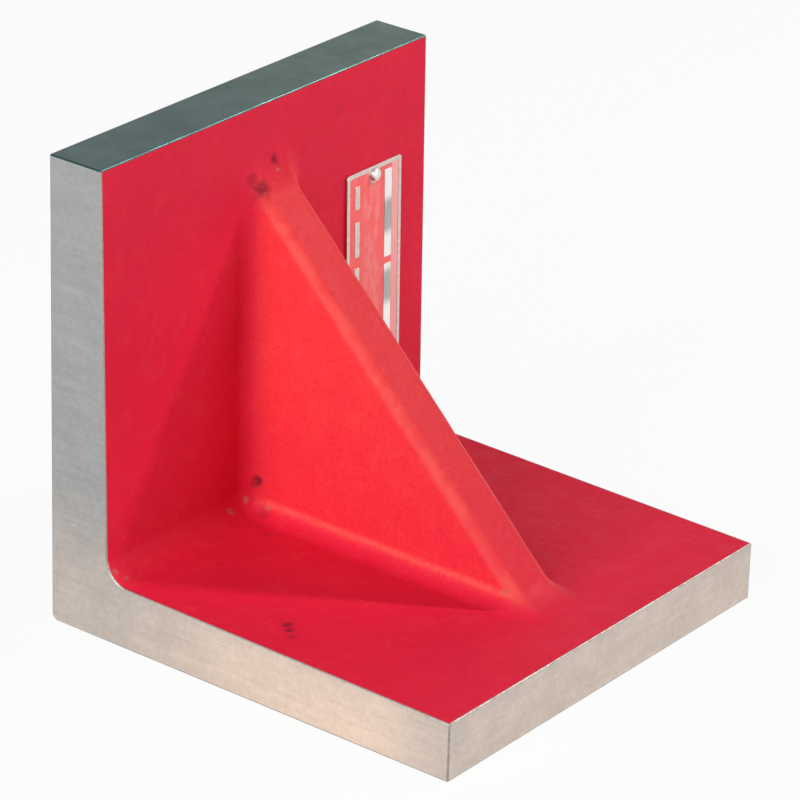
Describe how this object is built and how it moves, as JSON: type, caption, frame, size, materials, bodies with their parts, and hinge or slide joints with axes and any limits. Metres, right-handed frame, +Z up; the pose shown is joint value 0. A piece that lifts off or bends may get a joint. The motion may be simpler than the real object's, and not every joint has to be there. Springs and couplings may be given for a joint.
{
  "type": "angle plate",
  "caption": "Webbed angle plate of painted cast iron with ground outer faces, a triangular rib and a small nameplate, for holding work square.",
  "frame": {"origin": "middle of the underside of the base plate, halfway along its width and depth", "axes": "+Z up, +Y out of the wall's working face, X along the width with the nameplate on the +X side"},
  "size_m": [0.1524, 0.1524, 0.1524],
  "materials": {
    "painted_iron": "red machine enamel on the inner faces, ground bare iron outside",
    "nameplate_metal": "satin sheet with red enamel fields",
    "screw_steel": "bright round heads"
  },
  "bodies": {
    "root": {"casting": "painted_iron", "nameplate": "nameplate_metal", "drive_screws": "screw_steel"}
  },
  "joints": []
}
